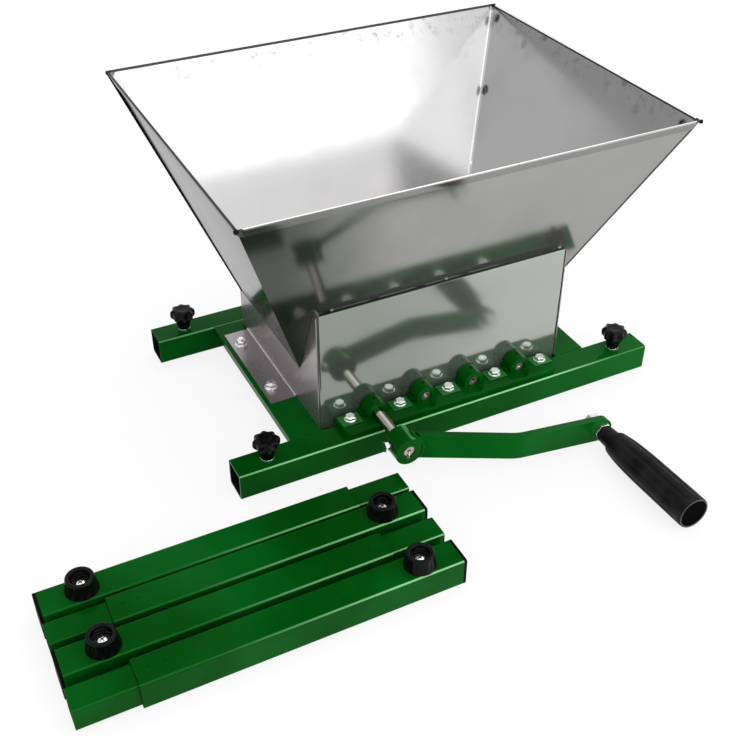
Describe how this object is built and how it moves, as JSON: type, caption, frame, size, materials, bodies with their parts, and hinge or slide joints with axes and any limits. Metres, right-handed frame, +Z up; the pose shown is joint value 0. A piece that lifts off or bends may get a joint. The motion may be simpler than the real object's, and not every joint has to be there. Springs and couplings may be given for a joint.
{
  "type": "apple scratter",
  "caption": "Hand-cranked apple scratter: flared stainless hopper over geared knife rollers on green square rails, with clamp knobs, a cranked handle and loose telescopic support arms.",
  "frame": {"origin": "middle of the front rail's underside", "axes": "+X along the rails to the right as seen from the crank, +Y from the crank to the back, +Z up"},
  "size_m": [0.6965, 0.5731, 0.312],
  "materials": {
    "green_paint": "glossy dark green paint",
    "stainless_sheet": "clear cold-rolled stainless, near mirror",
    "zinc_plate": "bright zinc plate",
    "ground_steel": "ground bar",
    "knife_steel": "satin stainless",
    "gear_steel": "cut steel, oiled",
    "grip_plastic": "smooth black",
    "knob_plastic": "smooth black",
    "cap_plastic": "matt black",
    "foot_rubber": "moulded black rubber"
  },
  "bodies": {
    "frame": {"front_rail": "green_paint", "rear_rail": "green_paint", "left_cross_bar": "green_paint", "right_cross_bar": "green_paint", "clamp_bushes": "zinc_plate", "left_side_plate": "stainless_sheet", "right_side_plate": "stainless_sheet", "front_apron": "stainless_sheet", "rear_plate": "stainless_sheet", "inner_throat_plate": "stainless_sheet", "hopper_front": "stainless_sheet", "hopper_rear": "stainless_sheet", "hopper_left": "stainless_sheet", "hopper_right": "stainless_sheet", "front_bearing_strip": "green_paint", "rear_bearing_strip": "green_paint", "strip_bolts": "zinc_plate", "side_plate_bolts": "zinc_plate"},
    "drive": {"drive_shaft": "ground_steel", "knives_1": "knife_steel", "gear_1": "gear_steel", "crank_arm": "green_paint", "crank_key": "ground_steel", "crank_set_screw": "zinc_plate", "grip_bolt": "zinc_plate"},
    "roller_2": {"second_shaft": "ground_steel", "knives_2": "knife_steel", "gear_2": "gear_steel"},
    "roller_3": {"third_shaft": "ground_steel", "knives_3": "knife_steel", "gear_3": "gear_steel"},
    "roller_4": {"fourth_shaft": "ground_steel", "knives_4": "knife_steel", "gear_4": "gear_steel"},
    "hand_grip": {"grip": "grip_plastic", "grip_plug": "grip_plastic"},
    "front_left_stud": {"stud_front_left": "zinc_plate"},
    "front_left_knob": {"knob_front_left": "knob_plastic"},
    "front_right_stud": {"stud_front_right": "zinc_plate"},
    "front_right_knob": {"knob_front_right": "knob_plastic"},
    "rear_left_stud": {"stud_rear_left": "zinc_plate"},
    "rear_left_knob": {"knob_rear_left": "knob_plastic"},
    "rear_right_stud": {"stud_rear_right": "zinc_plate"},
    "rear_right_knob": {"knob_rear_right": "knob_plastic"},
    "support_arm_1": {"support_arm_1_tube": "green_paint", "support_arm_1_insert": "green_paint", "support_arm_1_cap": "cap_plastic", "support_arm_1_foot": "foot_rubber"},
    "support_arm_2": {"support_arm_2_tube": "green_paint", "support_arm_2_insert": "green_paint", "support_arm_2_cap": "cap_plastic", "support_arm_2_foot": "foot_rubber"},
    "support_arm_3": {"support_arm_3_tube": "green_paint", "support_arm_3_insert": "green_paint", "support_arm_3_cap": "cap_plastic", "support_arm_3_foot": "foot_rubber"},
    "support_arm_4": {"support_arm_4_tube": "green_paint", "support_arm_4_insert": "green_paint", "support_arm_4_cap": "cap_plastic", "support_arm_4_foot": "foot_rubber"}
  },
  "joints": [
    {"name": "crank_turn", "type": "hinge", "parent": "frame", "child": "drive", "pos_m": [-0.0855, 0, 0.042], "axis": [0, -1, 0], "range_deg": [-84, 184]},
    {"name": "roller_2_turn", "type": "hinge", "parent": "frame", "child": "roller_2", "pos_m": [-0.0285, 0, 0.042], "axis": [0, -1, 0], "range_deg": [-184, 84]},
    {"name": "roller_3_turn", "type": "hinge", "parent": "frame", "child": "roller_3", "pos_m": [0.0285, 0, 0.042], "axis": [0, -1, 0], "range_deg": [-84, 184]},
    {"name": "roller_4_turn", "type": "hinge", "parent": "frame", "child": "roller_4", "pos_m": [0.0855, 0, 0.042], "axis": [0, -1, 0], "range_deg": [-184, 84]},
    {"name": "grip_spin", "type": "hinge", "parent": "drive", "child": "hand_grip", "pos_m": [0.12273, -0.0945, 0.01465], "axis": [0.005, -0.9994, 0.0345], "continuous": true},
    {"name": "front_left_stud_rise", "type": "slide", "parent": "frame", "child": "front_left_stud", "axis": [0, 0, 1], "range_m": [0, 0.016]},
    {"name": "front_left_knob_turn", "type": "hinge", "parent": "front_left_stud", "child": "front_left_knob", "pos_m": [-0.2075, 0, 0.04], "axis": [0, 0, 1], "range_deg": [0, 5760]},
    {"name": "front_right_stud_rise", "type": "slide", "parent": "frame", "child": "front_right_stud", "axis": [0, 0, 1], "range_m": [0, 0.016]},
    {"name": "front_right_knob_turn", "type": "hinge", "parent": "front_right_stud", "child": "front_right_knob", "pos_m": [0.2075, 0, 0.04], "axis": [0, 0, 1], "range_deg": [0, 5760]},
    {"name": "rear_left_stud_rise", "type": "slide", "parent": "frame", "child": "rear_left_stud", "axis": [0, 0, 1], "range_m": [0, 0.016]},
    {"name": "rear_left_knob_turn", "type": "hinge", "parent": "rear_left_stud", "child": "rear_left_knob", "pos_m": [-0.2075, 0.25, 0.04], "axis": [0, 0, 1], "range_deg": [0, 5760]},
    {"name": "rear_right_stud_rise", "type": "slide", "parent": "frame", "child": "rear_right_stud", "axis": [0, 0, 1], "range_m": [0, 0.016]},
    {"name": "rear_right_knob_turn", "type": "hinge", "parent": "rear_right_stud", "child": "rear_right_knob", "pos_m": [0.2075, 0.25, 0.04], "axis": [0, 0, 1], "range_deg": [0, 5760]},
    {"name": "support_arm_1_lift", "type": "slide", "parent": "frame", "child": "support_arm_1", "axis": [0, 0, 1], "range_m": [0, 0.35]},
    {"name": "support_arm_2_lift", "type": "slide", "parent": "frame", "child": "support_arm_2", "axis": [0, 0, 1], "range_m": [0, 0.35]},
    {"name": "support_arm_3_lift", "type": "slide", "parent": "frame", "child": "support_arm_3", "axis": [0, 0, 1], "range_m": [0, 0.35]},
    {"name": "support_arm_4_lift", "type": "slide", "parent": "frame", "child": "support_arm_4", "axis": [0, 0, 1], "range_m": [0, 0.35]}
  ],
  "couplings": [
    {"joint": "roller_2_turn", "follows": "crank_turn", "ratio": -1},
    {"joint": "roller_3_turn", "follows": "crank_turn", "ratio": 1},
    {"joint": "roller_4_turn", "follows": "crank_turn", "ratio": -1},
    {"joint": "front_left_stud_rise", "follows": "front_left_knob_turn", "m_per_rad": 0.00015915},
    {"joint": "front_right_stud_rise", "follows": "front_right_knob_turn", "m_per_rad": 0.00015915},
    {"joint": "rear_left_stud_rise", "follows": "rear_left_knob_turn", "m_per_rad": 0.00015915},
    {"joint": "rear_right_stud_rise", "follows": "rear_right_knob_turn", "m_per_rad": 0.00015915}
  ]
}
